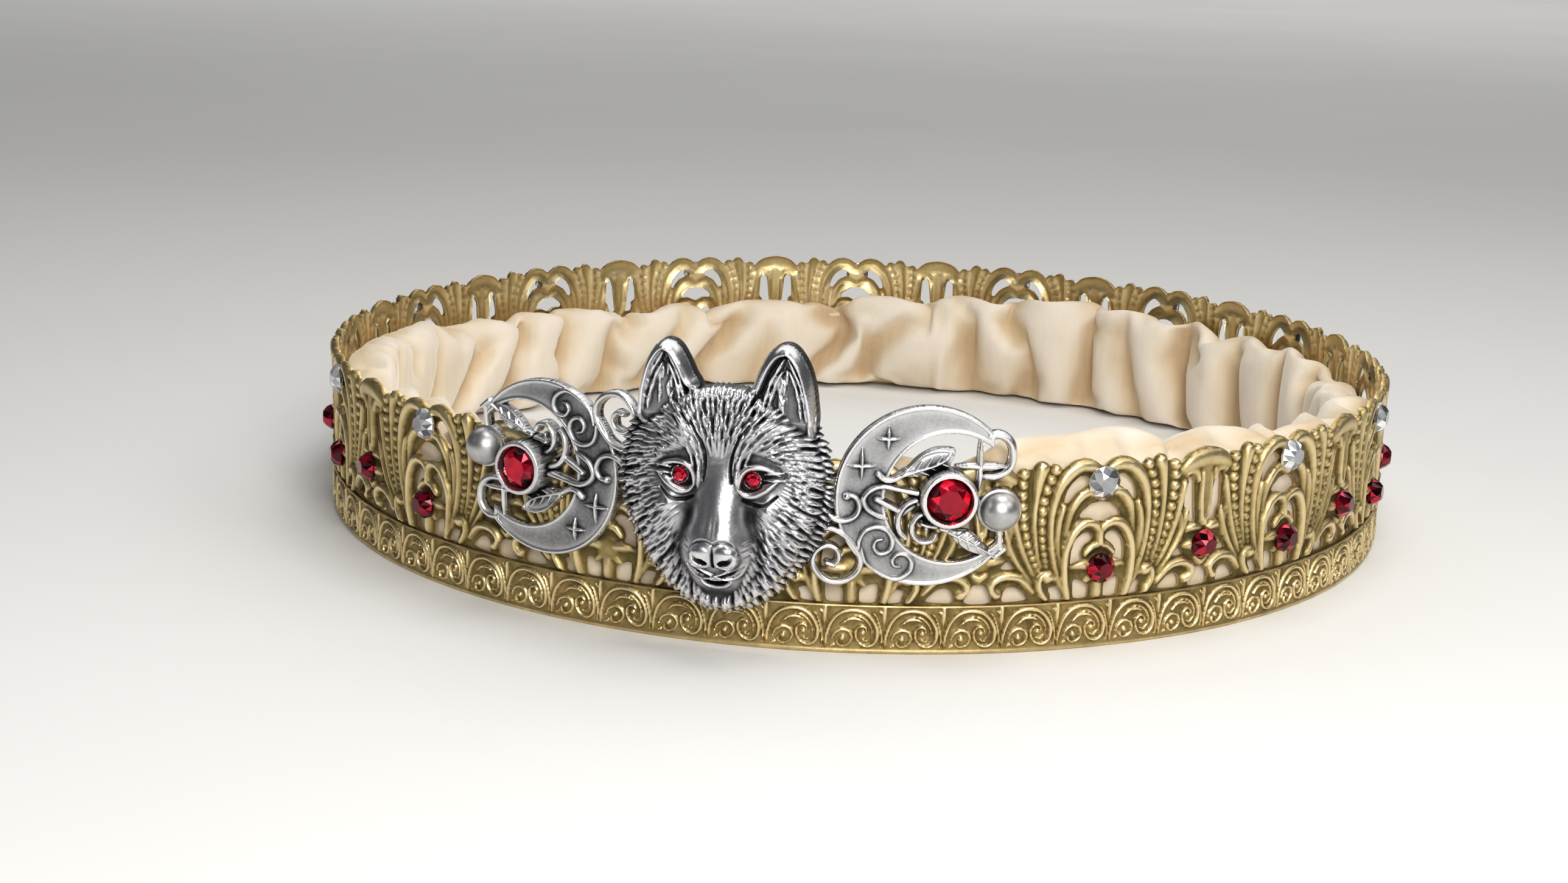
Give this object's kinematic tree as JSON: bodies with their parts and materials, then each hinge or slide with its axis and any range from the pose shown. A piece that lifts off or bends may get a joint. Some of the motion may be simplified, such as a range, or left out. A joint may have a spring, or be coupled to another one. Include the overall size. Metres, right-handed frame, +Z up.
{
  "type": "coronet",
  "caption": "Openwork brass coronet with an embossed border, gathered velvet lining, a cast wolf head between two crescent moons, and glued faceted stones.",
  "frame": {"origin": "centre of the band ring, on the surface that the band's lower edge rests on", "axes": "+Z up through the ring, the wolf's head at the front facing -Y, +X to the right as seen from the front"},
  "size_m": [0.195, 0.2024, 0.0454],
  "materials": {
    "antique_brass": "satin, stamped, brown patina in the recesses",
    "bright_brass": "satin, embossed, light patina",
    "velvet": "cream velvet, gathered",
    "antique_silver": "antiqued silver casting, black in the recesses",
    "satin_silver": "satin silver",
    "red_glass": "foil-backed faceted red glass",
    "clear_glass": "foil-backed faceted clear glass"
  },
  "bodies": {
    "root": {"border_band": "bright_brass", "clear_stone_01": "clear_glass", "clear_stone_02": "clear_glass", "clear_stone_03": "clear_glass", "clear_stone_04": "clear_glass", "clear_stone_05": "clear_glass", "clear_stone_06": "clear_glass", "clear_stone_07": "clear_glass", "clear_stone_08": "clear_glass", "clear_stone_09": "clear_glass", "clear_stone_10": "clear_glass", "clear_stone_11": "clear_glass", "clear_stone_12": "clear_glass", "clear_stone_13": "clear_glass", "clear_stone_14": "clear_glass", "eye_stone_left": "red_glass", "eye_stone_right": "red_glass", "filigree_band": "antique_brass", "moon_ball_left": "satin_silver", "moon_ball_right": "satin_silver", "moon_charm_left": "antique_silver", "moon_charm_right": "antique_silver", "moon_stone_left": "red_glass", "moon_stone_right": "red_glass", "red_stone_01": "red_glass", "red_stone_02": "red_glass", "red_stone_03": "red_glass", "red_stone_04": "red_glass", "red_stone_05": "red_glass", "red_stone_06": "red_glass", "red_stone_07": "red_glass", "red_stone_08": "red_glass", "red_stone_09": "red_glass", "red_stone_10": "red_glass", "red_stone_11": "red_glass", "red_stone_12": "red_glass", "red_stone_13": "red_glass", "red_stone_14": "red_glass", "red_stone_15": "red_glass", "red_stone_16": "red_glass", "red_stone_17": "red_glass", "red_stone_18": "red_glass", "red_stone_19": "red_glass", "red_stone_20": "red_glass", "red_stone_21": "red_glass", "red_stone_22": "red_glass", "red_stone_23": "red_glass", "red_stone_24": "red_glass", "red_stone_25": "red_glass", "red_stone_26": "red_glass", "velvet_lining": "velvet", "wolf_head": "antique_silver"}
  },
  "joints": []
}
